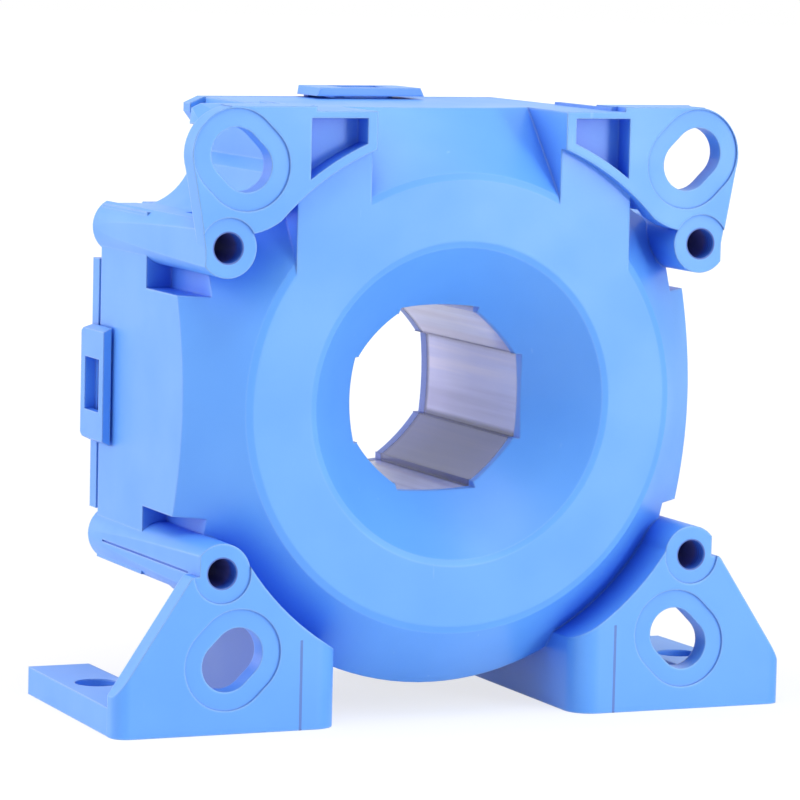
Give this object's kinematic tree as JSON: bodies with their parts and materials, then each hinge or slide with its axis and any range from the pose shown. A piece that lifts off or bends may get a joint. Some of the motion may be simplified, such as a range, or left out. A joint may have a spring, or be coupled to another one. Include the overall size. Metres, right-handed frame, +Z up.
{
  "type": "current transformer",
  "caption": "Blue moulded ring-type current transformer with a funnel-shaped window, slotted ears and feet, full-depth screw columns and a clip-on rear cover.",
  "frame": {"origin": "centre of the bounding box in X and Y, on the plane the feet stand on", "axes": "+Z up; the funnel side faces -Y; the window axis runs along Y at 65 mm height; X to the right"},
  "size_m": [0.1496, 0.066, 0.1271],
  "materials": {
    "blue_plastic": "satin moulded",
    "grey_plastic": "satin moulded",
    "core_steel": "wound strip",
    "case_plastic": "matte",
    "coil_wire": "enamelled wire",
    "board": "lacquered",
    "screw_steel": "zinc plated",
    "aluminium": "rolled",
    "black_epoxy": "moulded epoxy",
    "can": "sleeved can",
    "header_plastic": "matte",
    "pin_metal": "tin plated"
  },
  "bodies": {
    "root": {"front_housing": "blue_plastic", "rear_cover": "blue_plastic", "aperture_liner": "grey_plastic", "magnetic_core": "core_steel", "gap_carrier": "case_plastic", "hall_sensor": "black_epoxy", "core_case_front": "case_plastic", "core_case_rear": "case_plastic", "secondary_coil_1": "coil_wire", "secondary_coil_2": "coil_wire", "secondary_coil_3": "coil_wire", "secondary_coil_4": "coil_wire", "coil_leads": "coil_wire", "circuit_board": "board", "board_screws": "screw_steel", "output_transistors": "black_epoxy", "heat_spreader": "aluminium", "amplifier_chip": "black_epoxy", "filter_capacitors": "can", "chip_resistors": "black_epoxy", "clamp_diodes": "black_epoxy", "terminal_header": "header_plastic", "terminal_pins": "pin_metal"}
  },
  "joints": []
}
